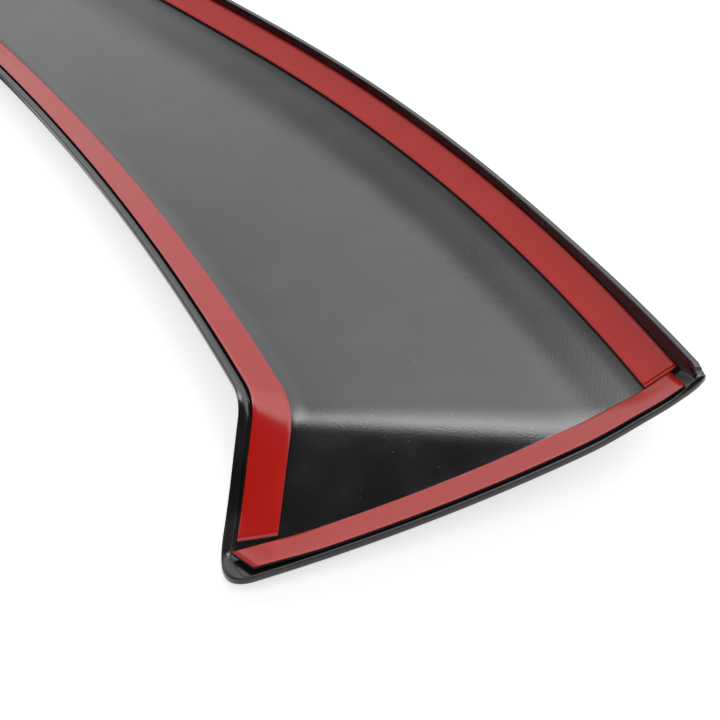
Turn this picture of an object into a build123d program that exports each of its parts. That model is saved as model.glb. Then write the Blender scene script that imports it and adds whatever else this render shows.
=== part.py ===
"""Bonnet deflector: a bowed plastic tray lying underside up, with adhesive strips along its border.

The part lies as it comes to rest with its glossy outer face down. X runs along the
length, Y points to the leading (front) edge and Z is up. Left and right are as fitted to
the vehicle, so the left end is at plus X. All sizes are in millimetres and degrees.
"""

import os
from math import asin, atan2, cos, degrees, hypot, radians, sin, sqrt, tan

from build123d import *

# Plan outline
tip_to_tip = 1410.0  # length between the two front tips
mid_width = 86.0  # rear edge to front edge at mid length
rear_radius = 1420.0  # bow of the rear edge
front_mid_radius = 3200.0  # bow of the front edge near mid length
front_mid_angle = 7.6  # half angle that the flatter middle arc spans
front_end_radius = 830.0  # tighter bow of the front edge towards the tips
kink_setback = 117.0  # from a front tip back to the kink of the rear edge, along X
kink_radius = 36.0  # rounding of the rear edge at the kink
flare_angle = 26.5  # how far the rear edge turns outwards at the kink
flare_run = 64.0  # straight rear edge after the kink, up to the sharp corner
end_bulge = 5.4  # how far the end edge bows out of its chord
corner_radius = 6.5  # rounded rear corner
nose_length = 8.0  # last stretch of the front edge, turned in towards the tip
nose_depth = 1.6  # how far the nose cuts into the end edge

# Sheet, rims and pocket
skin = 1.5  # wall of the moulding
rim_width = 2.3  # width of the raised rim round the border
rim_height = 0.8  # rim above the pocket floor, along the rear and the ends
lip_height = 4.0  # taller rim along the front edge
lip_ramp = 9.0  # distance over which the end rim climbs to the front lip
corner_land = 7.0  # legs of the flat land left across each rear corner of the pocket
slit_width = 0.5  # saw slit across the front lip beside the left tip
slit_depth = 2.2
slit_setback = 4.0  # from the left tip back to the slit

# Heights of the pocket floor
crown = 9.5  # rise from mid length to the kinks
fold_angle = 10.0  # downward fold of each end facet
fold_end_setback = 22.0  # the crease meets the end edge this far from the front tip
crease_blend_rear = 4.0  # half width of the crease's rounding at the kink
crease_blend_front = 14.0  # half width of the crease's rounding at the front
rear_border = 17.5  # width of the rear border that turns up
rear_slope = 22.0
rear_blend = 3.0
front_band = 38.0  # width of the shallow band along the front
front_band_slope = 8.0
front_band_blend = 7.0
front_border = 16.0  # inner part of the band that turns up further, under the strip
front_border_slope = 9.0
front_border_blend = 4.0
end_border = 17.0  # width of the end border that turns up
end_slope = 23.0
end_blend = 4.0

# Adhesive strips
tape_width = 12.0
foam_thickness = 1.5
liner_thickness = 0.15
rear_gap = 2.2  # strip to rim
front_gap = 0.7
end_gap = 0.6
end_start_outer = 16.5  # end strip's setback from the sharp rear corner, outer side
end_start_inner = 12.0  # and inner side
end_stop_outer = 6.0  # end strip's setback from the sharp front tip, outer side
end_stop_inner = 8.0  # and inner side
rear_cut_outer = 4.0  # room between the rear strip's hand-cut end and the end strip, outer side
rear_cut_inner = 1.9  # and inner side
front_cut = 1.4  # room between the front strip's end and the end strip

# Working sizes of the height surfaces
edge_margin = 8.0  # how far they run past the front edge
flare_margin = 60.0  # and behind the rear arc, to cover the flares
end_margin = 30.0  # and past the front tips
end_zone = 170.0  # length of each end with close stations
end_step = 10.0  # spacing of those stations
mid_step = 60.0  # largest spacing towards mid length
step_growth = 1.25  # from one station to the next


def turn(angle):
    """Unit direction at an angle in degrees, measured from plus Y towards plus X."""
    return Vector(sin(radians(angle)), cos(radians(angle)))


def smooth_ramp(run, blend):
    """The larger of zero and run, with a parabola in place of the corner."""
    if run <= -blend:
        return 0.0
    if run >= blend:
        return run
    return (run + blend) ** 2 / (4 * blend)


def share(value, start, stop):
    """How far value has come from start to stop, eased and kept between 0 and 1."""
    part = min(max((value - start) / (stop - start), 0.0), 1.0)
    return part * part * (3 - 2 * part)


# Centres and angles of the arcs that make the outline
tip_x = tip_to_tip / 2
rear_centre = Vector(0, -rear_radius)
kink_angle = degrees(asin((tip_x - kink_setback) / rear_radius))
flare_turn = kink_angle + flare_angle
kink_centre = rear_centre + turn(kink_angle) * (rear_radius - kink_radius)
flare_dir = Vector(cos(radians(flare_turn)), -sin(radians(flare_turn)))
front_mid_centre = Vector(0, mid_width - front_mid_radius)
front_end_centre = front_mid_centre + turn(front_mid_angle) * (front_mid_radius - front_end_radius)
tip_angle = degrees(asin((tip_x - front_end_centre.X) / front_end_radius))


def flare_point(inset, along):
    """Point on the flare, inset from the rear edge and along from the end of the kink."""
    return kink_centre + turn(flare_turn) * (kink_radius + inset) + flare_dir * along


def front_point(inset, setback):
    """Point inset from the front edge, setback from the tip along the end arc."""
    angle = tip_angle - degrees(setback / front_end_radius)
    return front_end_centre + turn(angle) * (front_end_radius - inset)


rear_corner = flare_point(0, flare_run)
front_tip = front_point(0, 0)
end_chord = front_tip - rear_corner
end_radius = end_chord.length**2 / (8 * end_bulge) + end_bulge / 2
end_inward = Vector(-end_chord.Y, end_chord.X).normalized()
end_centre = (rear_corner + front_tip) * 0.5 + end_inward * (end_radius - end_bulge)


def end_point(inset, from_corner=None, from_tip=None):
    """Point inset from the end edge, set back from the rear corner or from the front tip."""
    if from_corner is not None:
        start, along = rear_corner - end_centre, from_corner / end_radius
    else:
        start, along = front_tip - end_centre, -from_tip / end_radius
    angle = atan2(start.Y, start.X) + along
    return end_centre + Vector(cos(angle), sin(angle)) * (end_radius - inset)


# The crease of the end facet runs from the kink to a point near the front tip
kink_point = rear_centre + turn(kink_angle) * rear_radius
crease_end = end_point(0, from_tip=fold_end_setback)
crease_dir = (crease_end - kink_point).normalized()
crease_out = Vector(crease_dir.Y, -crease_dir.X)
crease_length = (crease_end - kink_point).length


def front_inset(x, y):
    """Distance of a plan point inside the front edge; x is never negative here."""
    reach = Vector(x, y) - front_mid_centre
    if degrees(atan2(reach.X, reach.Y)) <= front_mid_angle:
        return front_mid_radius - reach.length
    return front_end_radius - (Vector(x, y) - front_end_centre).length


def floor_height(x, y):
    """Height of the pocket floor over a plan point, the same for both halves."""
    x = abs(x)
    rear = hypot(x, y - rear_centre.Y) - rear_radius
    front = front_inset(x, y)
    end = end_radius - hypot(x - end_centre.X, y - end_centre.Y)
    from_kink = Vector(x, y) - kink_point
    past_crease = from_kink.dot(crease_out)
    along = min(max(from_kink.dot(crease_dir) / crease_length, 0.0), 1.0)
    blend = crease_blend_rear + (crease_blend_front - crease_blend_rear) * along
    turned_up = 1 - share(past_crease, -2 * crease_blend_rear, 2 * crease_blend_rear)
    height = skin + crown * (x / kink_point.X) ** 2
    height += tan(radians(rear_slope)) * smooth_ramp(rear_border - rear, rear_blend) * turned_up
    height += tan(radians(front_band_slope)) * smooth_ramp(front_band - front, front_band_blend)
    height += tan(radians(front_border_slope)) * smooth_ramp(front_border - front, front_border_blend)
    height += tan(radians(end_slope)) * smooth_ramp(end_border - end, end_blend)
    height -= tan(radians(fold_angle)) * smooth_ramp(past_crease, blend)
    return height


def rim_top(x, y):
    """Height of the rim's top, which climbs to the lip near the front edge."""
    climb = 1 - share(front_inset(abs(x), y), rim_width, rim_width + lip_ramp)
    return floor_height(x, y) + rim_height + (lip_height - rim_height) * climb


def front_reach(angle):
    """Distance from the rear arc's centre to the front edge along a ray."""
    ray = turn(angle)
    centre, radius = front_mid_centre, front_mid_radius
    for _ in range(2):
        offset = rear_centre - centre
        along = offset.dot(ray)
        reach = -along + sqrt(along**2 - offset.length**2 + radius**2)
        hit = rear_centre + ray * reach - front_mid_centre
        if degrees(atan2(hit.X, hit.Y)) <= front_mid_angle:
            break
        centre, radius = front_end_centre, front_end_radius
    return reach


def stations():
    """Ray angles of the height stations, close together over the ends."""
    half = [tip_x + end_margin]
    step = end_step
    while half[-1] > tip_x + end_margin - end_zone:
        half.append(half[-1] - step)
    while half[-1] > 2 * step:
        step = min(step * step_growth, mid_step)
        half.append(half[-1] - step)
    half[-1] = 0.0
    angles = [degrees(length / rear_radius) for length in half]
    return [-angle for angle in angles[:-1]] + angles[::-1]


def rows(outer):
    """Distances from the rear arc's centre, closest where the borders turn up."""
    behind = [-flare_margin * part for part in (1.0, 0.6, 0.3, 0.1)]
    rear = [rear_border * part for part in (0.2, 0.5, 0.8, 1.05, 1.4)]
    front = [front_band * part for part in (1.35, 1.1, 0.88, 0.65, 0.43, 0.22, 0.0)]
    near = [rear_radius + inset for inset in behind + rear]
    far = [outer - inset for inset in front + [-edge_margin]]
    middle = [near[-1] + (far[0] - near[-1]) * part for part in (0.25, 0.5, 0.75)]
    return near + middle + far


def height_surface(height):
    """Smooth surface through a height function, lofted from one spline at each station."""
    sections = []
    for angle in stations():
        spots = [rear_centre + turn(angle) * distance for distance in rows(front_reach(abs(angle)))]
        line = [Vector(spot.X, spot.Y, height(spot.X, spot.Y)) for spot in spots]
        even = [i / (len(line) - 1) for i in range(len(line))]
        sections.append(Wire([Edge.make_spline(line, parameters=even)]))
    return Shell.make_loft(sections).face()


floor_face = height_surface(floor_height)
rim_face = height_surface(rim_top)


def mirrored(point):
    """The same plan point at the other end."""
    return Vector(-point.X, point.Y)


def arc_about(centre, radius, start, stop):
    """Arc between two turn angles, drawn from the first to the second."""
    return CenterArc(centre, radius, 90 - start, start - stop)


def rear_path(inset, along):
    """Draw the rear edge at an inset, from one flare to the other."""
    Line(mirrored(flare_point(inset, along)), mirrored(flare_point(inset, 0)))
    arc_about(mirrored(kink_centre), kink_radius + inset, -flare_turn, -kink_angle)
    arc_about(rear_centre, rear_radius + inset, -kink_angle, kink_angle)
    arc_about(kink_centre, kink_radius + inset, kink_angle, flare_turn)
    Line(flare_point(inset, 0), flare_point(inset, along))


def front_path(inset, setback):
    """Draw the front edge at an inset, between two setbacks from the tips."""
    stop = tip_angle - degrees(setback / front_end_radius)
    arc_about(mirrored(front_end_centre), front_end_radius - inset, -stop, -front_mid_angle)
    arc_about(front_mid_centre, front_mid_radius - inset, -front_mid_angle, front_mid_angle)
    arc_about(front_end_centre, front_end_radius - inset, front_mid_angle, stop)


def bulged(start, stop, inset):
    """Draw an arc of the end edge at an inset, between two of its points."""
    RadiusArc(start, stop, inset - end_radius)


# Bodies under and over the height surfaces, used to trim the pieces
reach = rim_top(front_tip.X, front_tip.Y) + edge_margin


def under(rise):
    """Body below the pocket floor moved up by rise."""
    with BuildPart() as body:
        extrude(floor_face.moved(Pos(0, 0, rise)), amount=reach, dir=(0, 0, -1))
    return body.part


def over(face, rise=0.0):
    """Body above a height surface moved up by rise."""
    with BuildPart() as body:
        extrude(face.moved(Pos(0, 0, rise)), amount=reach, dir=(0, 0, 1))
    return body.part


foam_top = foam_thickness
liner_top = foam_thickness + liner_thickness
under_floor = under(0)
under_foam = under(foam_top)
over_foam = over(floor_face, foam_top)
over_liner = over(floor_face, liner_top)

with BuildSketch() as outline:
    with BuildLine():
        rear_path(0, flare_run)
        front_path(0, nose_length)
        nose_end = end_point(0, from_tip=nose_depth)
        for side in (Vector, mirrored):
            Line(side(front_point(0, nose_length)), side(nose_end))
        bulged(rear_corner, nose_end, 0)
        bulged(mirrored(nose_end), mirrored(rear_corner), 0)
    make_face()

# The hollow of the tray, open upwards, with a flat land left at each rear corner
with BuildPart() as hollow:
    with BuildSketch() as hollow_plan:
        add(outline.sketch)
        offset(amount=-rim_width, mode=Mode.REPLACE, kind=Kind.INTERSECTION)
        chamfer(hollow_plan.vertices().sort_by(Axis.Y)[:2], corner_land)
    extrude(amount=reach)
    add(under_floor, mode=Mode.SUBTRACT, clean=False)

# The moulding: one sheet with a raised rim all round and a saw slit beside the left tip
slit_spot = front_point(rim_width / 2, slit_setback)
slit_bottom = rim_top(slit_spot.X, slit_spot.Y) - slit_depth
slit_plane = Plane(slit_spot + Vector(0, 0, slit_bottom), x_dir=slit_spot - front_end_centre)
with BuildPart() as shell:
    with BuildSketch(Plane.XY.offset(-edge_margin)) as shell_plan:
        add(outline.sketch)
        fillet(shell_plan.vertices().sort_by(Axis.Y)[:2], corner_radius)
    extrude(amount=edge_margin + reach)
    add(under(-skin), mode=Mode.SUBTRACT, clean=False)
    add(over(rim_face), mode=Mode.SUBTRACT, clean=False)
    add(hollow.part, mode=Mode.SUBTRACT, clean=False)
    with BuildSketch(slit_plane):
        Rectangle(2 * rim_width, slit_width)
    extrude(amount=reach, mode=Mode.SUBTRACT, clean=False)

# Plan faces of the strips, each set in from the rim by its own gap
rear_inset = rim_width + rear_gap
front_inset_outer = rim_width + front_gap
end_inset = rim_width + end_gap
end_reach = end_inset + tape_width
corner_angle = 180 - flare_dir.get_angle(end_chord)


def rear_cut(inset, room):
    """How far the rear strip runs down the flare before its hand-cut end."""
    return flare_run - (end_reach + room + inset * cos(radians(corner_angle))) / sin(radians(corner_angle))


with BuildSketch() as rear_strip:
    with BuildLine():
        outer = rear_cut(rear_inset, rear_cut_outer)
        inner = rear_cut(rear_inset + tape_width, rear_cut_inner)
        rear_path(rear_inset, outer)
        rear_path(rear_inset + tape_width, inner)
        for side in (Vector, mirrored):
            Line(side(flare_point(rear_inset, outer)), side(flare_point(rear_inset + tape_width, inner)))
    make_face()

with BuildSketch() as front_strip:
    with BuildLine():
        setback = end_reach + front_cut
        front_path(front_inset_outer, setback)
        front_path(front_inset_outer + tape_width, setback)
        for side in (Vector, mirrored):
            Line(
                side(front_point(front_inset_outer, setback)),
                side(front_point(front_inset_outer + tape_width, setback)),
            )
    make_face()


def end_strip(side):
    """Plan face of the strip along one end."""
    corners = [
        side(end_point(end_inset, from_corner=end_start_outer)),
        side(end_point(end_inset, from_tip=end_stop_outer)),
        side(end_point(end_reach, from_tip=end_stop_inner)),
        side(end_point(end_reach, from_corner=end_start_inner)),
    ]
    sense = -1 if side is Vector else 1
    with BuildSketch() as strip:
        with BuildLine():
            RadiusArc(corners[0], corners[1], sense * (end_radius - end_inset))
            Line(corners[1], corners[2])
            RadiusArc(corners[2], corners[3], -sense * (end_radius - end_reach))
            Line(corners[3], corners[0])
        make_face()
    return strip.sketch


strips = {
    "rear": rear_strip.sketch,
    "front": front_strip.sketch,
    "left_end": end_strip(Vector),
    "right_end": end_strip(mirrored),
}

# The origin is under the middle of the whole part, where its belly rests
centring = Pos(0, -shell_plan.sketch.bounding_box().center().Y, 0)

os.makedirs("parts", exist_ok=True)
shell.part.locate(centring)
shell.part.label = "deflector_shell"
export_step(shell.part, "parts/deflector_shell.step")

# Each strip is a foam tape on the pocket floor with its release liner still on top
for place, plan in strips.items():
    for kind, below, above in (("foam_tape", under_floor, over_foam), ("liner", under_foam, over_liner)):
        with BuildPart() as layer:
            with BuildSketch():
                add(plan)
            extrude(amount=reach)
            add(below, mode=Mode.SUBTRACT, clean=False)
            add(above, mode=Mode.SUBTRACT, clean=False)
        layer.part.locate(centring)
        layer.part.label = f"{place}_{kind}"
        export_step(layer.part, f"parts/{place}_{kind}.step")
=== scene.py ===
"""Looks of the bonnet deflector: a glossy black moulding lying underside up, with taped borders.

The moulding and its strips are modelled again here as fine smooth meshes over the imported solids.
Plan points are complex numbers in millimetres, with the rear edge at mid length at zero.
"""

from bisect import bisect_right
from cmath import phase, rect
from math import asin, cos, degrees, pi, radians, sin, sqrt, tan

import bmesh
import bpy
from mathutils import Matrix, Vector


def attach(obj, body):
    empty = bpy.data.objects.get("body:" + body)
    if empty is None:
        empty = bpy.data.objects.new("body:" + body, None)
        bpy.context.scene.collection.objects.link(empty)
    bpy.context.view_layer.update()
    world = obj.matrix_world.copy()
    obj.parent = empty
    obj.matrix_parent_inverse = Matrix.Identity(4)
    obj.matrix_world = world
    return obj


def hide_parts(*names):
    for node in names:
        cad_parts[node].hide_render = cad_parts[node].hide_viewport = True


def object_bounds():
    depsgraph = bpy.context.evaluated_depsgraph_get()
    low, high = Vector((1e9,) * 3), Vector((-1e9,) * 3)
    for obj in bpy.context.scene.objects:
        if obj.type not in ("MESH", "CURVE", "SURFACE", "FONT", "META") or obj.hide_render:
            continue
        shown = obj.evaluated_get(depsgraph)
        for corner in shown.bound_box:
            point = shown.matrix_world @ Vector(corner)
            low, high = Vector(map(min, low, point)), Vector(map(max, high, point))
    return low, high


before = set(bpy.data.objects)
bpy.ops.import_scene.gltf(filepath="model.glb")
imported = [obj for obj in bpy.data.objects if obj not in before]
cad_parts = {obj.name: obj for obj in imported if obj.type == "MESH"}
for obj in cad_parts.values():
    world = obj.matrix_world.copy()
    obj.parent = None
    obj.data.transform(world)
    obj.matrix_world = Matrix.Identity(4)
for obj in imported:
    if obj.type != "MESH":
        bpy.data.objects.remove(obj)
cad_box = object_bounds()

MM = 0.001

# Plan outline, as in the solids apart from corners and tips, which follow the photograph
tip_to_tip = 1410.0
mid_width = 86.0
rear_radius = 1420.0
front_mid_radius = 3200.0
front_mid_angle = 7.6
front_end_radius = 830.0
kink_setback = 117.0
kink_radius = 36.0
flare_angle = 26.5
flare_run = 64.0
end_bulge = 5.4
corner_rear = 27.0  # legs of the skewed rounding of each rear corner
corner_end = 13.5
nose_length = 8.0
tip_round = 8.0  # the end edge turns in to the tip over this stretch
tip_inset = 1.4  # and the tip stands this far inside the sharp outline
tip_setback = 1.0

# Sheet, rims and pocket
skin = 1.5
end_rim = 1.6  # widths of the raised rim along the ends, the rear and the front
rear_rim = 3.3
front_rim = 2.3
rim_height = 1.1
lip_height = 3.5  # front lip at mid length
lip_rise = 3.6  # the lip grows by this much towards each tip
lip_rise_run = 95.0
lip_rise_blend = 25.0
lip_ramp = 9.0  # the end rims climb to the lip over this distance
lip_blend = 1.0  # rounding of the place where the end's turn-up reaches the lip's top
land_rear = 15.0  # legs of the flat land across each rear corner of the pocket
land_end = 6.0
slit_width = 0.9
slit_depth = 2.2
slit_setback = 3.2
slit_wall = 0.05625  # run of each of its steep walls
rim_round = 0.35  # rounding of the rim's top edges
edge_round = 0.8  # rounding of the outer face's edge

# Heights of the pocket floor
crown = 9.5
fold_angle = 11.0
crease_start = 0.38  # share of the kink's rounding after which the crease starts
fold_end_setback = 17.5
crease_blend_rear = 6.0
crease_blend_front = 12.0
rear_border = 17.5
rear_slope = 22.0
rear_blend = 3.0
rear_fade = (0.0, 44.0)  # the turned-up rear border dies out over this stretch past the crease
front_band = 38.0
front_band_slope = 8.0
front_band_blend = 7.0
front_border = 16.0
front_border_slope = 9.0
front_border_blend = 4.0
end_border = 15.8
end_slope = 24.7
end_blend = 0.9
end_fade = 0.1  # share of the end's turn-up that is lost towards the front tip
end_fade_run = 25.0

# Adhesive strips
tape_width = 12.0
foam_thickness = 1.0
liner_thickness = 0.15
foam_round = 0.15  # rounding of the strips' top edges
liner_round = 0.06
rear_gap = 1.2
front_gap = 0.5
end_gap = 2.2
end_start_outer = 14.0
end_start_inner = 10.3
end_stop_outer = 6.7
end_stop_inner = 2.2
rear_stop_outer = 40.6  # hand-cut end, along the flare
rear_stop_inner = 38.0
front_stop_outer = 16.0
front_stop_inner = 13.9
curl_height = 1.1  # the end strips lift a little at the rear corner
curl_run = 24.0

# Fineness of the meshes
long_cells = 560
cross_cells = 64
end_crowding = 0.75  # how far the cells crowd towards the ends
side_crowding = 0.5  # and towards the edges
chain_step = 0.5  # spacing of the points that a path is walked along
strip_step = 2.0
corner_cells = 40
strip_cells = 8

# Camera, found from the vanishing lines and the outline of the photographed end
focal_length = 85.0
camera_elevation = 38.0
camera_heading = 46.87  # from minus X towards plus Y
camera_distance = 0.559
camera_target = (606.2, -87.0, 14.4)  # plan point and height in millimetres

# Light: windows of a studio, by elevation and by azimuth from the camera's heading, in degrees
floor_lift = 0.62
ambient = 0.05
windows = [
    # low, high, left, right, softness, radiance
    (-8, 20, -24, 60, 8, 0.9),
    (20, 33.5, -24, 60, 6, 1.7),
    (33.5, 38.5, -7.2, 60, 6, 2.35),
    (38.5, 48, -3.5, 60, 6, 2.35),
    (33.5, 53, -50, -6.5, 7, 0.62),
    (-8, 33.5, -70, -24, 8, 0.4),
    (41, 52, -6, 17, 5, 2.2),
    (46.5, 52, -13, 17, 3, 6.2),
    (20, 75, 110, 250, 20, 1.25),
]

# Colours
deep_black = (0.0080, 0.0080, 0.0083, 1)
hazy_black = (0.020, 0.020, 0.0205, 1)
pale_dust = (0.55, 0.55, 0.55, 1)
liner_red = (0.51, 0.0095, 0.0060, 1)
liner_light_red = (0.56, 0.0125, 0.0080, 1)
liner_dust = (0.75, 0.6, 0.58, 1)
foam_dark = (0.020, 0.020, 0.021, 1)
foam_light = (0.034, 0.034, 0.035, 1)
floor_grey = (0.80, 0.80, 0.80, 1)
floor_pale = (0.82, 0.82, 0.82, 1)
white = (1, 1, 1, 1)

# Surfaces: how strongly dust shows, depths of the fine relief in metres, refractive index
dust_cover = 0.22
liner_dust_cover = 0.5
grain_depth = 0.00008
grain_strength = 0.35
ripple_depth = 0.00012
pore_depth = 0.0001
plastic_index = 1.5

plan_shift = cad_box[1][1] / MM - mid_width


def turn(angle):
    """Unit direction at an angle in degrees, measured from plus Y towards plus X."""
    return complex(sin(radians(angle)), cos(radians(angle)))


def mirrored(point):
    """The same plan point at the other end."""
    return complex(-point.real, point.imag)


def inner_product(first, second):
    """Scalar product of two plan vectors."""
    return first.real * second.real + first.imag * second.imag


def smooth_ramp(run, blend):
    """The larger of zero and run, with a parabola in place of the corner."""
    if run <= -blend:
        return 0.0
    if run >= blend:
        return run
    return (run + blend) ** 2 / (4 * blend)


def share(value, start, stop):
    """How far value has come from start to stop, eased and kept between 0 and 1."""
    part = min(max((value - start) / (stop - start), 0.0), 1.0)
    return part * part * (3 - 2 * part)


# Centres and angles of the arcs that make the outline
tip_x = tip_to_tip / 2
rear_centre = complex(0, -rear_radius)
kink_angle = degrees(asin((tip_x - kink_setback) / rear_radius))
flare_turn = kink_angle + flare_angle
kink_centre = rear_centre + turn(kink_angle) * (rear_radius - kink_radius)
flare_dir = complex(cos(radians(flare_turn)), -sin(radians(flare_turn)))
front_mid_centre = complex(0, mid_width - front_mid_radius)
front_end_centre = front_mid_centre + turn(front_mid_angle) * (front_mid_radius - front_end_radius)
tip_angle = degrees(asin((tip_x - front_end_centre.real) / front_end_radius))


def flare_point(inset, along):
    """Point on the flare, inset from the rear edge and along from the end of the kink."""
    return kink_centre + turn(flare_turn) * (kink_radius + inset) + flare_dir * along


def front_point(inset, setback):
    """Point inset from the front edge, setback from the tip along the end arc."""
    angle = tip_angle - degrees(setback / front_end_radius)
    return front_end_centre + turn(angle) * (front_end_radius - inset)


rear_corner = flare_point(0, flare_run)
front_tip = front_point(0, 0)
end_chord = front_tip - rear_corner
end_radius = abs(end_chord) ** 2 / (8 * end_bulge) + end_bulge / 2
end_inward = end_chord * 1j / abs(end_chord)
end_centre = (rear_corner + front_tip) / 2 + end_inward * (end_radius - end_bulge)


def end_point(inset, from_corner=None, from_tip=None):
    """Point inset from the end edge, set back from the rear corner or from the front tip."""
    if from_corner is not None:
        angle = phase(rear_corner - end_centre) + from_corner / end_radius
    else:
        angle = phase(front_tip - end_centre) - from_tip / end_radius
    return end_centre + rect(end_radius - inset, angle)


kink_x = (rear_centre + turn(kink_angle) * rear_radius).real
fold_point = kink_centre + turn(kink_angle + crease_start * flare_angle) * kink_radius
crease_run = end_point(0, from_tip=fold_end_setback) - fold_point
crease_length = abs(crease_run)
crease_dir = crease_run / crease_length
crease_out = crease_dir * -1j


def front_inset(point):
    """Distance of a plan point of the left half inside the front edge."""
    reach = point - front_mid_centre
    if pi / 2 - phase(reach) <= radians(front_mid_angle):
        return front_mid_radius - abs(reach)
    return front_end_radius - abs(point - front_end_centre)


def rear_inset(point):
    """Distance of a plan point of the left half inside the rear edge."""
    reach = point - kink_centre
    angle = degrees(pi / 2 - phase(reach))
    if angle <= kink_angle or angle >= 180:
        return abs(point - rear_centre) - rear_radius
    if angle <= flare_turn:
        return abs(reach) - kink_radius
    return inner_product(reach, turn(flare_turn)) - kink_radius


def floor_parts(point):
    """Height of the pocket floor over a plan point without the end's turn-up, and that turn-up."""
    point = complex(abs(point.real), point.imag)
    front = front_inset(point)
    from_fold = point - fold_point
    past_crease = inner_product(from_fold, crease_out)
    along = min(max(inner_product(from_fold, crease_dir) / crease_length, 0.0), 1.0)
    blend = crease_blend_rear + (crease_blend_front - crease_blend_rear) * along
    turned_up = 1 - share(past_crease, *rear_fade)
    rear = rear_inset(point)
    end = end_radius - abs(point - end_centre)
    height = skin + crown * (point.real / kink_x) ** 2
    height += tan(radians(rear_slope)) * smooth_ramp(rear_border - rear, rear_blend) * turned_up
    height += tan(radians(front_band_slope)) * smooth_ramp(front_band - front, front_band_blend)
    height += tan(radians(front_border_slope)) * smooth_ramp(front_border - front, front_border_blend)
    height -= tan(radians(fold_angle)) * smooth_ramp(past_crease, blend)
    lift = tan(radians(end_slope)) * smooth_ramp(end_border - end, end_blend)
    lift *= 1 - end_fade * (1 - share(front, 0.0, end_fade_run))
    return height, lift


def floor_height(point):
    """Height of the pocket floor over a plan point, the same for both halves."""
    return sum(floor_parts(point))


def lip_share(point):
    """How far the rim has climbed to the lip: 1 along the front edge and 0 away from it."""
    left = complex(abs(point.real), point.imag)
    return 1 - share(front_inset(left), front_rim, front_rim + lip_ramp)


def rim_top(point):
    """Height of the rim's top, which climbs to the lip near the front edge."""
    height, lift = floor_parts(point)
    from_tip = abs(complex(abs(point.real), point.imag) - front_tip)
    lip = lip_height + lip_rise * smooth_ramp(lip_rise_run - from_tip, lip_rise_blend) / lip_rise_run
    climb = smooth_ramp(lip - rim_height - lift, lip_blend)
    return height + lift + rim_height + lip_share(point) * climb


def placed(point, height):
    """A plan point at a height, in the frame's own metres."""
    return Vector((point.real, point.imag + plan_shift, height)) * MM


def chain(*pieces):
    """Joins lists of points into one chain."""
    return [point for piece in pieces for point in piece]


def straight(start, stop):
    """Points along a straight stretch."""
    count = max(int(abs(stop - start) / chain_step), 1)
    return [start + (stop - start) * i / count for i in range(count + 1)]


def bend(centre, start, stop):
    """Points along an arc about a centre, the short way from start to stop."""
    sweep = phase((stop - centre) / (start - centre))
    count = max(int(abs(sweep) * abs(start - centre) / chain_step), 4)
    return [centre + (start - centre) * rect(1, sweep * i / count) for i in range(count + 1)]


def walk(points):
    """Function that gives the point at a share of a chain's length."""
    lengths = [0.0]
    for before, after in zip(points, points[1:]):
        lengths.append(lengths[-1] + abs(after - before))

    def at(part):
        length = part * lengths[-1]
        i = min(max(bisect_right(lengths, length) - 1, 0), len(points) - 2)
        span = lengths[i + 1] - lengths[i]
        return points[i] + (points[i + 1] - points[i]) * ((length - lengths[i]) / span if span else 0.0)

    at.length = lengths[-1]
    return at


def meet(start, direction, centre, radius, near):
    """Where a line crosses a circle, at the crossing closest to a point."""
    reach = start - centre
    along = inner_product(reach, direction)
    root = sqrt(along**2 - abs(reach) ** 2 + radius**2)
    hits = [start + direction * (-along + sense * root) for sense in (-1, 1)]
    return min(hits, key=lambda hit: abs(hit - near))


def corner(rear, end):
    """Sharp rear corner of the outline at two insets."""
    return meet(flare_point(rear, 0), flare_dir, end_centre, end_radius - end, rear_corner)


def rear_run(inset, stop):
    """Points along the rear edge from mid length to a point on the flare."""
    middle = complex(0, inset)
    kink_start = rear_centre + turn(kink_angle) * (rear_radius + inset)
    flare_start = flare_point(inset, 0)
    arc = bend(rear_centre, middle, kink_start)
    return chain(arc, bend(kink_centre, kink_start, flare_start), straight(flare_start, stop))


def front_run(inset, stop):
    """Points along the front edge from mid length to a point near the tip."""
    middle = complex(0, mid_width - inset)
    join = front_mid_centre + turn(front_mid_angle) * (front_mid_radius - inset)
    return chain(bend(front_mid_centre, middle, join), bend(front_end_centre, join, stop))


def tip_sides(at_end, at_front, tip, end_start):
    """End and front paths at their insets, which meet in the tip."""
    nose = front_point(at_front, nose_length)
    turned = end_point(at_end, from_tip=tip_round)
    half = (turned + tip) / 2
    middle = (half + end_point(at_end, from_tip=tip_round / 2)) / 2
    along_end = bend(end_centre, end_start[-1], turned)
    end = chain(end_start, along_end, straight(turned, middle), straight(middle, tip))
    return walk(end), walk(chain(front_run(at_front, nose), straight(nose, tip)))


def outer_sides():
    """Rear, end and front paths of the left half along the moulding's outer edge."""
    on_flare = rear_corner - flare_dir * corner_rear
    on_end = end_point(0, from_corner=corner_end)
    half = corner_cells // 2
    rounding = []
    for i in range(corner_cells + 1):
        part = i / corner_cells
        first = on_flare + (rear_corner - on_flare) * part
        second = rear_corner + (on_end - rear_corner) * part
        rounding.append(first + (second - first) * part)
    rear = chain(rear_run(0, on_flare), rounding[: half + 1])
    return walk(rear), *tip_sides(0, 0, end_point(tip_inset, from_tip=tip_setback), rounding[half:])


def pocket_sides():
    """The same three paths along the pocket's edge, with its cut-off rear corner."""
    sharp = corner(rear_rim, end_rim)
    on_flare = sharp - flare_dir * land_rear
    on_end = end_centre + (sharp - end_centre) * rect(1, land_end / (end_radius - end_rim))
    half = (on_flare + on_end) / 2
    rear = chain(rear_run(rear_rim, on_flare), straight(on_flare, half))
    tip = end_point(tip_inset + end_rim, from_tip=tip_setback + front_rim)
    return walk(rear), *tip_sides(end_rim, front_rim, tip, straight(half, on_end))


def spread(count, crowding):
    """Shares from 0 to 1 that crowd towards both ends."""
    return [i / count - crowding * sin(2 * pi * i / count) / (2 * pi) for i in range(count + 1)]


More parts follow.
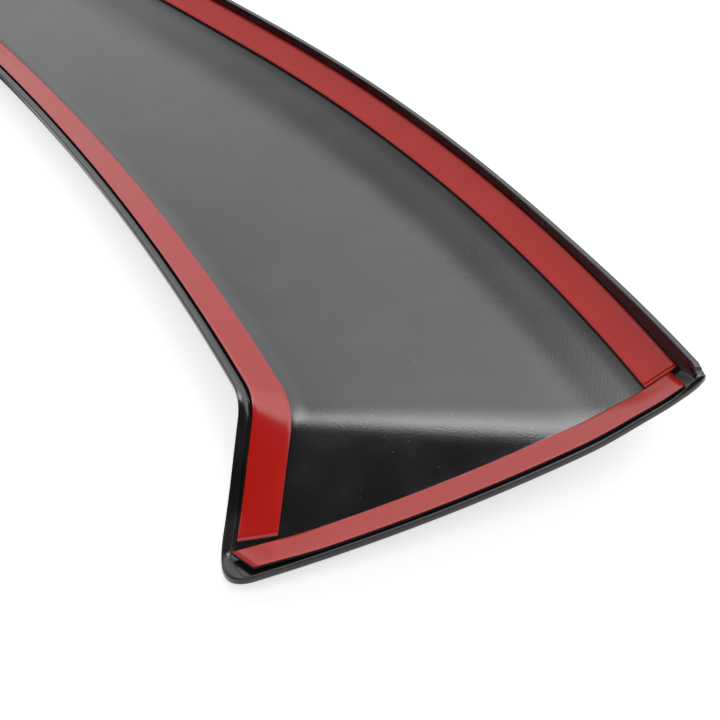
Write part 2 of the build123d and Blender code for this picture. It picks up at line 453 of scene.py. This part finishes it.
def long_shares(front):
    """Places along the length from minus 1 to 1, and the two of them that lie at the slit's foot."""
    slit = 1 - slit_setback / front.length
    half = slit_width / 2 / front.length
    wall = slit_wall / front.length
    foot = (slit - half, slit + half)
    places = [2 * part - 1 for part in spread(long_cells, end_crowding)]
    places = [place for place in places if abs(place - slit) > 2 * half]
    return sorted([*places, foot[0] - wall, *foot, foot[1] + wall]), foot


def both_halves(path, places):
    """Points at the places along a path that starts at mid length."""
    return [path(place) if place >= 0 else mirrored(path(-place)) for place in places]


def toward(start, stop):
    """Unit direction from one plan point to another."""
    return (stop - start) / abs(stop - start)


def four_sides(sides, longs, crosses):
    """Points along the rear, the left end, the front and the right end."""
    rear, end, front = sides
    left = [end(part) for part in crosses]
    back = both_halves(rear, longs)
    fore = both_halves(front, longs)
    return back, left, fore, [mirrored(point) for point in left]


def patch(back, left, fore, right, longs, crosses):
    """Grid of plan points that spans four sides."""
    grid = []
    for i, place in enumerate(longs):
        u = (place + 1) / 2
        column = []
        for j, v in enumerate(crosses):
            edge = back[i] * (1 - v) + fore[i] * v + right[j] * (1 - u) + left[j] * u
            rear_chord = back[0] * (1 - u) + back[-1] * u
            front_chord = fore[0] * (1 - u) + fore[-1] * u
            column.append(edge - rear_chord * (1 - v) - front_chord * v)
        grid.append(column)
    return grid


def ring(back, left, fore, right):
    """One closed loop of values from those of the four sides."""
    return back[:-1] + left[:-1] + fore[:0:-1] + right[:0:-1]


def new_object(name, vertices, faces):
    """Smooth-shaded mesh object with its faces turned outwards."""
    mesh = bpy.data.meshes.new(name)
    mesh.from_pydata(vertices, [], faces)
    work = bmesh.new()
    work.from_mesh(mesh)
    bmesh.ops.recalc_face_normals(work, faces=work.faces)
    work.to_mesh(mesh)
    work.free()
    mesh.polygons.foreach_set("use_smooth", [True] * len(mesh.polygons))
    piece = bpy.data.objects.new(name, mesh)
    bpy.context.collection.objects.link(piece)
    return piece


def moulding():
    """The sheet with its raised rim, as one closed skin."""
    outer = outer_sides()
    pocket = pocket_sides()
    longs, slit_foot = long_shares(outer[2])
    crosses = spread(cross_cells, side_crowding)
    edge_sides = four_sides(outer, longs, crosses)
    inner_sides = four_sides(pocket, longs, crosses)
    edge = ring(*edge_sides)
    inner = ring(*inner_sides)
    lowered = [0.0] * len(edge)
    front_start = len(longs) - 1 + len(crosses) - 1
    for i, place in enumerate(reversed(longs)):
        if place in slit_foot:
            lowered[front_start + i] = slit_depth

    vertices = []
    faces = []

    def add_grid(grid, height):
        first = len(vertices)
        across = len(crosses)
        for column in grid:
            vertices.extend(placed(point, height(point)) for point in column)
        for i in range(len(longs) - 1):
            for j in range(across - 1):
                a = first + i * across + j
                faces.append((a, a + across, a + across + 1, a + 1))
        last = len(longs) - 1
        back = [first + i * across for i in range(last + 1)]
        fore = [first + i * across + across - 1 for i in range(last + 1)]
        left = [first + last * across + j for j in range(across)]
        right = [first + j for j in range(across)]
        return ring(back, left, fore, right)

    def outer_height(point):
        return floor_height(point) - skin

    floor_loop = add_grid(patch(*inner_sides, longs, crosses), floor_height)
    face_sides = []
    for near_side, far_side in zip(edge_sides, inner_sides):
        pairs = zip(near_side, far_side)
        face_sides.append([near + toward(near, far) * edge_round for near, far in pairs])
    outer_loop = add_grid(patch(*face_sides, longs, crosses), outer_height)

    rows = [floor_loop]

    def add_row(points, heights):
        rows.append(list(range(len(vertices), len(vertices) + len(points))))
        vertices.extend(placed(point, height) for point, height in zip(points, heights))

    inward = [toward(near, far) for near, far in zip(edge, inner)]
    tops = [rim_top(point) - low for point, low in zip(edge, lowered)]
    inner_tops = []
    for near, far, top, low in zip(edge, inner, tops, lowered):
        own = rim_top(far) - low
        inner_tops.append(own + lip_share(near) * (top - own))
    slack = rim_round * (1 - sqrt(0.5))
    halves = [(floor_height(point) + top - rim_round) / 2 for point, top in zip(inner, inner_tops)]
    add_row(inner, halves)
    add_row(inner, [top - rim_round for top in inner_tops])
    add_row([p - d * slack for p, d in zip(inner, inward)], [top - slack for top in inner_tops])
    add_row([p - d * rim_round for p, d in zip(inner, inward)], inner_tops)
    crest = [p + d * rim_round for p, d in zip(edge, inward)]
    add_row(crest, tops)
    add_row([p + d * slack for p, d in zip(edge, inward)], [top - slack for top in tops])
    add_row(edge, [top - rim_round for top in tops])
    bottoms = [outer_height(point) for point in edge]
    add_row(edge, [(top + bottom) / 2 for top, bottom in zip(tops, bottoms)])
    add_row(edge, [bottom + edge_round for bottom in bottoms])
    slack = edge_round * (1 - sqrt(0.5))
    add_row([p + d * slack for p, d in zip(edge, inward)], [bottom + slack for bottom in bottoms])
    rows.append(outer_loop)
    count = len(edge)
    for upper, lower in zip(rows, rows[1:]):
        for i in range(count):
            k = (i + 1) % count
            faces.append((upper[i], upper[k], lower[k], lower[i]))
    return new_object("moulding", vertices, faces)


end_inset = end_rim + end_gap
end_reach = end_inset + tape_width


def strip_edges(place):
    """Points along the outer and along the inner long edge of a strip."""
    if place == "rear":
        outer = rear_rim + rear_gap
        inner = outer + tape_width
        near = walk(rear_run(outer, flare_point(outer, rear_stop_outer)))
        far = walk(rear_run(inner, flare_point(inner, rear_stop_inner)))
    elif place == "front":
        outer = front_rim + front_gap
        inner = outer + tape_width
        near = walk(front_run(outer, front_point(outer, front_stop_outer)))
        far = walk(front_run(inner, front_point(inner, front_stop_inner)))
    else:
        start = end_point(end_inset, from_corner=end_start_outer)
        near = walk(bend(end_centre, start, end_point(end_inset, from_tip=end_stop_outer)))
        start = end_point(end_reach, from_corner=end_start_inner)
        far = walk(bend(end_centre, start, end_point(end_reach, from_tip=end_stop_inner)))
    if place in ("rear", "front"):
        count = int(2 * near.length / strip_step)
        places = [2 * i / count - 1 for i in range(count + 1)]
        return both_halves(near, places), both_halves(far, places)
    count = int(near.length / strip_step)
    edges = [[path(i / count) for i in range(count + 1)] for path in (near, far)]
    if place == "right_end":
        edges = [[mirrored(point) for point in edge] for edge in edges]
    return edges


def strip(name, place, low, high, rounding):
    """One layer of a strip, from one height over the pocket floor to another."""
    near, far = strip_edges(place)
    slack = rounding * (1 - sqrt(0.5))
    inside = [i / strip_cells for i in range(1, strip_cells)]
    ends = [(0.0, low), (0.0, high - rounding), (slack, high - slack), (rounding, high)]
    profile = [(shift / tape_width, height) for shift, height in ends]
    profile += [(part, high) for part in inside]
    profile += [(1 - part, height) for part, height in reversed(profile[:4])]
    profile += [(part, low) for part in reversed(inside)]
    vertices = []
    for start, stop in zip(near, far):
        curl = 0.0
        if place.endswith("end"):
            curl = curl_height * (1 - share(abs(start - near[0]), 0.0, curl_run))
        for part, height in profile:
            point = start + (stop - start) * part
            vertices.append(placed(point, floor_height(point) + height + curl))
    size = len(profile)
    faces = [tuple(range(size)), tuple(range(len(vertices) - size, len(vertices)))]
    for i in range(len(near) - 1):
        for j in range(size):
            k = (j + 1) % size
            a = i * size
            faces.append((a + j, a + k, a + size + k, a + size + j))
    return new_object(name, vertices, faces)


def node_adder(tree):
    """Function that adds a node to a tree, with its settings and what its inputs get."""

    def add(kind, links=None, **values):
        node = tree.nodes.new(kind)
        for key, value in values.items():
            setattr(node, key, value)
        for socket, value in (links or {}).items():
            if isinstance(value, bpy.types.NodeSocket):
                tree.links.new(value, node.inputs[socket])
            else:
                node.inputs[socket].default_value = value
        return node

    return add


def node_kit(name):
    """New material, with functions that add nodes and feed the shader that it starts with."""
    material = bpy.data.materials.new(name)
    material.use_nodes = True
    tree = material.node_tree
    shader = tree.nodes["Principled BSDF"]

    def feed(socket, source):
        tree.links.new(source, shader.inputs[socket])

    return material, node_adder(tree), feed, shader


def noise(add, coords, scale, detail=3.0):
    """Fractal noise between 0 and 1."""
    return add("ShaderNodeTexNoise", {"Vector": coords, "Scale": scale, "Detail": detail}).outputs["Fac"]


def remap(add, value, low, high, to_low, to_high):
    """Eased change from one value to another as the input goes from low to high."""
    links = {"Value": value, "From Min": low, "From Max": high, "To Min": to_low, "To Max": to_high}
    return add("ShaderNodeMapRange", links, interpolation_type="SMOOTHSTEP").outputs["Result"]


def calc(add, operation, first, second):
    """Sum, product or the like of two values."""
    return add("ShaderNodeMath", {0: first, 1: second}, operation=operation).outputs["Value"]


def mix(add, part, first, second):
    """Colour between two colours."""
    node = add("ShaderNodeMix", {"Factor": part}, data_type="RGBA")
    colours = [socket for socket in node.inputs if socket.type == "RGBA"]
    for socket, value in zip(colours, (first, second)):
        if isinstance(value, bpy.types.NodeSocket):
            node.id_data.links.new(value, socket)
        else:
            socket.default_value = value
    return next(socket for socket in node.outputs if socket.type == "RGBA")


def specks(add, coords, scale, rarity, size):
    """Sparse small spots: 1 inside a speck and 0 elsewhere."""
    cells = add("ShaderNodeTexVoronoi", {"Vector": coords, "Scale": scale})
    chosen = calc(add, "GREATER_THAN", cells.outputs["Color"], rarity)
    near = remap(add, cells.outputs["Distance"], low=size / 2, high=size, to_low=1.0, to_high=0.0)
    return calc(add, "MULTIPLY", chosen, near)


def plastic():
    """Black moulded plastic: fine grain on the underside, a clear gloss on the outer face."""
    material, add, feed, shader = node_kit("black_plastic")
    coords = add("ShaderNodeTexCoord").outputs["Object"]
    normal = add("ShaderNodeNewGeometry").outputs["True Normal"]
    upward = add("ShaderNodeSeparateXYZ", {"Vector": normal}).outputs["Z"]
    underside = remap(add, upward, low=-0.3, high=-0.1, to_low=0.0, to_high=1.0)
    cloud = noise(add, coords, scale=30.0)
    dusty = remap(add, cloud, low=0.42, high=0.62, to_low=0.05, to_high=1.0)
    spots = specks(add, coords, scale=420.0, rarity=0.6, size=0.13)
    dust = calc(add, "MULTIPLY", spots, calc(add, "MULTIPLY", underside, dusty))
    film = noise(add, coords, scale=55.0, detail=6.0)
    film = remap(add, film, low=0.42, high=0.72, to_low=0.0, to_high=1.0)
    colour = mix(add, film, deep_black, hazy_black)
    feed("Base Color", mix(add, calc(add, "MULTIPLY", dust, dust_cover), colour, pale_dust))
    smudge = noise(add, coords, scale=22.0, detail=4.0)
    grained = remap(add, smudge, low=0.3, high=0.7, to_low=0.14, to_high=0.16)
    gloss = remap(add, smudge, low=0.3, high=0.7, to_low=0.05, to_high=0.09)
    blend = add("ShaderNodeMix", {"Factor": underside, "A": gloss, "B": grained})
    feed("Roughness", blend.outputs["Result"])
    grain = noise(add, coords, scale=1500.0, detail=2.0)
    strength = calc(add, "MULTIPLY", underside, grain_strength)
    bump = add("ShaderNodeBump", {"Height": grain, "Distance": grain_depth, "Strength": strength})
    feed("Normal", bump.outputs["Normal"])
    shader.inputs["IOR"].default_value = plastic_index
    return material


def red_liner():
    """Red plastic release film with faint ripples."""
    material, add, feed, shader = node_kit("red_release_liner")
    coords = add("ShaderNodeTexCoord").outputs["Object"]
    cloud = noise(add, coords, scale=45.0, detail=4.0)
    colour = mix(add, cloud, liner_red, liner_light_red)
    dust = specks(add, coords, scale=420.0, rarity=0.965, size=0.10)
    feed("Base Color", mix(add, calc(add, "MULTIPLY", dust, liner_dust_cover), colour, liner_dust))
    feed("Roughness", remap(add, cloud, low=0.3, high=0.7, to_low=0.16, to_high=0.2))
    ripple = noise(add, coords, scale=160.0, detail=2.0)
    bump = add("ShaderNodeBump", {"Height": ripple, "Distance": ripple_depth, "Strength": 0.3})
    feed("Normal", bump.outputs["Normal"])
    shader.inputs["IOR"].default_value = plastic_index
    return material


def grey_foam():
    """Dark closed-cell foam."""
    material, add, feed, shader = node_kit("dark_foam")
    coords = add("ShaderNodeTexCoord").outputs["Object"]
    pores = add("ShaderNodeTexVoronoi", {"Vector": coords, "Scale": 3500.0}).outputs["Distance"]
    feed("Base Color", mix(add, pores, foam_dark, foam_light))
    bump = add("ShaderNodeBump", {"Height": pores, "Distance": pore_depth, "Strength": 0.6})
    feed("Normal", bump.outputs["Normal"])
    shader.inputs["Roughness"].default_value = 0.85
    return material


def white_floor():
    """Pale floor that keeps soft shadows and reads as white to the camera."""
    material, add, feed, shader = node_kit("white_floor")
    coords = add("ShaderNodeTexCoord").outputs["Object"]
    tone = noise(add, coords, scale=6.0, detail=2.0)
    feed("Base Color", mix(add, tone, floor_grey, floor_pale))
    shader.inputs["Roughness"].default_value = 0.9
    path = add("ShaderNodeLightPath")
    seen = calc(add, "MAXIMUM", path.outputs["Is Camera Ray"], path.outputs["Is Glossy Ray"])
    seen = calc(add, "MAXIMUM", seen, path.outputs["Is Transmission Ray"])
    shader.inputs["Emission Color"].default_value = white
    feed("Emission Strength", calc(add, "MULTIPLY", seen, floor_lift))
    return material


def studio(heading):
    """World light: soft windows round a dim room, with a white background for the camera."""
    world = bpy.data.worlds.new("studio")
    bpy.context.scene.world = world
    world.use_nodes = True
    tree = world.node_tree
    background = tree.nodes["Background"]
    add = node_adder(tree)
    ray = add("ShaderNodeTexCoord").outputs["Generated"]
    side = Vector((heading.y, -heading.x, 0))
    ahead = add("ShaderNodeVectorMath", {0: ray, 1: heading}, operation="DOT_PRODUCT").outputs["Value"]
    aside = add("ShaderNodeVectorMath", {0: ray, 1: side}, operation="DOT_PRODUCT").outputs["Value"]
    height = add("ShaderNodeSeparateXYZ", {"Vector": ray}).outputs["Z"]
    elevation = calc(add, "ARCSINE", height, 0.0)
    azimuth = calc(add, "ARCTAN2", aside, ahead)
    total = ambient
    for low, high, left, right, soft, radiance in windows:
        middle = radians((left + right) / 2)
        off = calc(add, "WRAP", calc(add, "SUBTRACT", azimuth, middle), pi)
        off.node.inputs[2].default_value = -pi
        off = calc(add, "ABSOLUTE", off, 0.0)
        reach = (right - left) / 2
        sideways = remap(add, off, radians(reach - soft / 2), radians(reach + soft / 2), 1.0, 0.0)
        above = remap(add, elevation, radians(low - soft / 2), radians(low + soft / 2), 0.0, 1.0)
        below = remap(add, elevation, radians(high - soft / 2), radians(high + soft / 2), 1.0, 0.0)
        lit = calc(add, "MULTIPLY", calc(add, "MULTIPLY", sideways, above), below)
        total = calc(add, "ADD", calc(add, "MULTIPLY", lit, radiance), total)
    camera_ray = add("ShaderNodeLightPath").outputs["Is Camera Ray"]
    strength = add("ShaderNodeMix", {"Factor": camera_ray, "A": total, "B": 1.0})
    tree.links.new(strength.outputs["Result"], background.inputs["Strength"])
    background.inputs["Color"].default_value = white


def camera(heading):
    """Camera at the photograph's angle, looking down on the left end."""
    data = bpy.data.cameras.new("camera")
    data.lens = focal_length
    data.clip_start = 0.01
    view = bpy.data.objects.new("camera", data)
    bpy.context.collection.objects.link(view)
    tilt = radians(camera_elevation)
    forward = heading * cos(tilt) - Vector((0, 0, sin(tilt)))
    right = forward.cross(Vector((0, 0, 1))).normalized()
    up = right.cross(forward)
    x, y, z = camera_target
    place = placed(complex(x, y), z) - forward * camera_distance
    turned = Matrix((right, up, -forward)).transposed()
    view.matrix_world = Matrix.Translation(place) @ turned.to_4x4()
    bpy.context.scene.camera = view


def dress(piece, material, node):
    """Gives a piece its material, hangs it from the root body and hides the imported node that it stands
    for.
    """
    piece.data.materials.append(material)
    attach(piece, "root")
    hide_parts(node)


tape_thickness = foam_thickness + liner_thickness
black = plastic()
red = red_liner()
grey = grey_foam()
dress(moulding(), black, "deflector_shell")
for place in ("rear", "front", "left_end", "right_end"):
    foam = strip(f"{place}_foam", place, 0.0, foam_thickness, foam_round)
    dress(foam, grey, f"{place}_foam_tape")
    film = strip(f"{place}_film", place, foam_thickness, tape_thickness, liner_round)
    dress(film, red, f"{place}_liner")

floor_half = 4.0
floor_mesh = bpy.data.meshes.new("floor")
square = [(-1, -1), (1, -1), (1, 1), (-1, 1)]
floor_mesh.from_pydata([(x * floor_half, y * floor_half, 0) for x, y in square], [], [(0, 1, 2, 3)])
floor = bpy.data.objects.new("floor", floor_mesh)
floor_mesh.materials.append(white_floor())
bpy.context.collection.objects.link(floor)

heading = Vector((-cos(radians(camera_heading)), sin(radians(camera_heading)), 0))
studio(heading)
camera(heading)
bpy.context.scene.view_settings.view_transform = "Standard"
